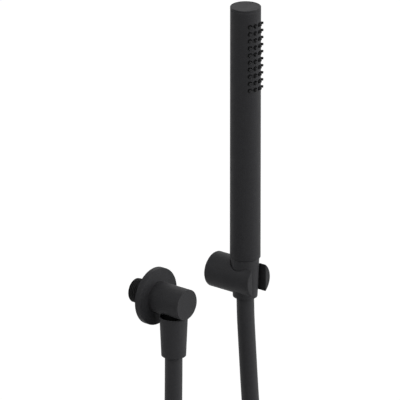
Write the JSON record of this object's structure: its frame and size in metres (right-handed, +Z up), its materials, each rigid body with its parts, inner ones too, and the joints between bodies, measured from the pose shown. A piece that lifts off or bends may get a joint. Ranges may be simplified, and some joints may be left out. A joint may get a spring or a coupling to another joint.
{
  "type": "handheld shower head",
  "caption": "Round stick hand shower with a silicone nozzle field, standing in a round wall holder and joined by a smooth hose to a round wall outlet.",
  "frame": {"origin": "on the wall outlet's axis, where the back of its flange meets the wall", "axes": "+Y into the wall along the threaded inlet, -Y out into the room, +Z up, +X from the wall outlet towards the holder"},
  "size_m": [0.1814, 0.071, 0.6962],
  "materials": {
    "black_coat": "matte black powder coat, fine texture",
    "black_thread": "black coated cut thread",
    "black_silicone": "moulded silicone, matte",
    "black_hose": "smooth matte PVC hose",
    "tie_strap": "woven hook and loop strap",
    "seal_rubber": "EPDM seal",
    "white_acetal": "natural moulded acetal",
    "brass": "machined brass",
    "stainless": "drawn and turned stainless steel"
  },
  "bodies": {
    "hand_shower": {"handle_tube": "black_coat", "top_cap": "black_coat", "cap_seal": "seal_rubber", "nozzle_strip": "black_silicone", "spray_former": "white_acetal", "chamber_seals": "seal_rubber", "waterway_tube": "white_acetal", "waterway_seals": "seal_rubber", "inlet_adapter": "brass", "adapter_seal": "seal_rubber", "flow_limiter": "white_acetal", "hose_washer_hand": "seal_rubber", "hose_nut_hand": "black_coat"},
    "hose_end": {"hose_core_hand": "brass", "hose_ferrule_hand": "stainless"},
    "wall_side": {"hose_leg_hand": "black_hose", "hose_coil": "black_hose", "hose_ties": "tie_strap", "hose_leg_wall": "black_hose", "hose_ferrule_wall": "stainless", "hose_core_wall": "brass", "hose_nut_wall": "black_coat", "hose_washer_wall": "seal_rubber", "outlet_body": "black_coat", "outlet_lock_screw": "stainless", "wall_flange": "black_coat", "flange_seal": "seal_rubber", "inlet_nipple": "black_thread", "nipple_seal": "seal_rubber", "outlet_spigot": "black_thread", "spigot_seal": "seal_rubber", "check_valve_body": "white_acetal", "check_valve_spring": "stainless", "holder_body": "black_coat", "holder_boss": "brass", "holder_lock_screw": "stainless"},
    "valve_poppet": {"check_valve_poppet": "white_acetal"}
  },
  "joints": [
    {"name": "hand_lift", "type": "slide", "parent": "wall_side", "child": "hose_end", "axis": [0, 0, 1], "range_m": [0, 0.04]},
    {"name": "hand_turn", "type": "hinge", "parent": "hose_end", "child": "hand_shower", "pos_m": [0.0816, -0.0325, 0], "axis": [0, 0, 1], "continuous": true},
    {"name": "check_valve_travel", "type": "slide", "parent": "wall_side", "child": "valve_poppet", "axis": [0, 0, -1], "range_m": [0, 0.0025], "stiffness_N_per_m": 150, "springref_m": -0.002, "deforming": ["check_valve_spring"]}
  ]
}
